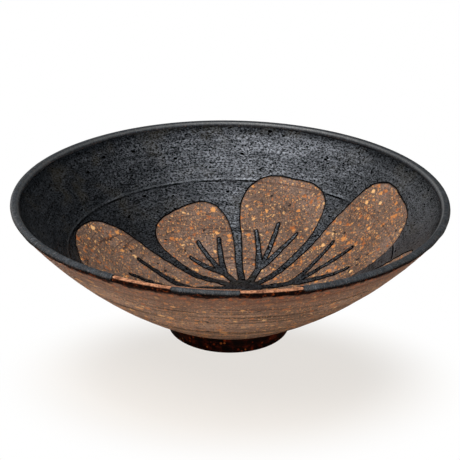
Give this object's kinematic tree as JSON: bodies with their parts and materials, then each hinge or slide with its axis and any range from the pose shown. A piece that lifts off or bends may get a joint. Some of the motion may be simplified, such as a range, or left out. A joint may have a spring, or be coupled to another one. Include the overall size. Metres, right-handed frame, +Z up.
{
  "type": "footed bowl",
  "caption": "Wide footed stoneware bowl with black matte glaze inside and on the lip, a bare clay blossom left in the glaze, and a dark foot ring.",
  "frame": {"origin": "centre of the foot ring at the table, on the bowl's axis", "axes": "+Z up along the bowl's axis, -Y towards the front, where the lip has its two bare stretches"},
  "size_m": [0.3, 0.3, 0.101],
  "materials": {
    "bare_stoneware": "unglazed grogged stoneware, matte",
    "dark_stoneware": "iron-dark unglazed stoneware, matte",
    "black_glaze": "black satin-matte glaze"
  },
  "bodies": {
    "root": {"bowl_wall": "bare_stoneware", "foot_ring": "dark_stoneware", "glaze_lining": "black_glaze", "rim_glaze_back": "black_glaze", "rim_glaze_front": "black_glaze"}
  },
  "joints": []
}
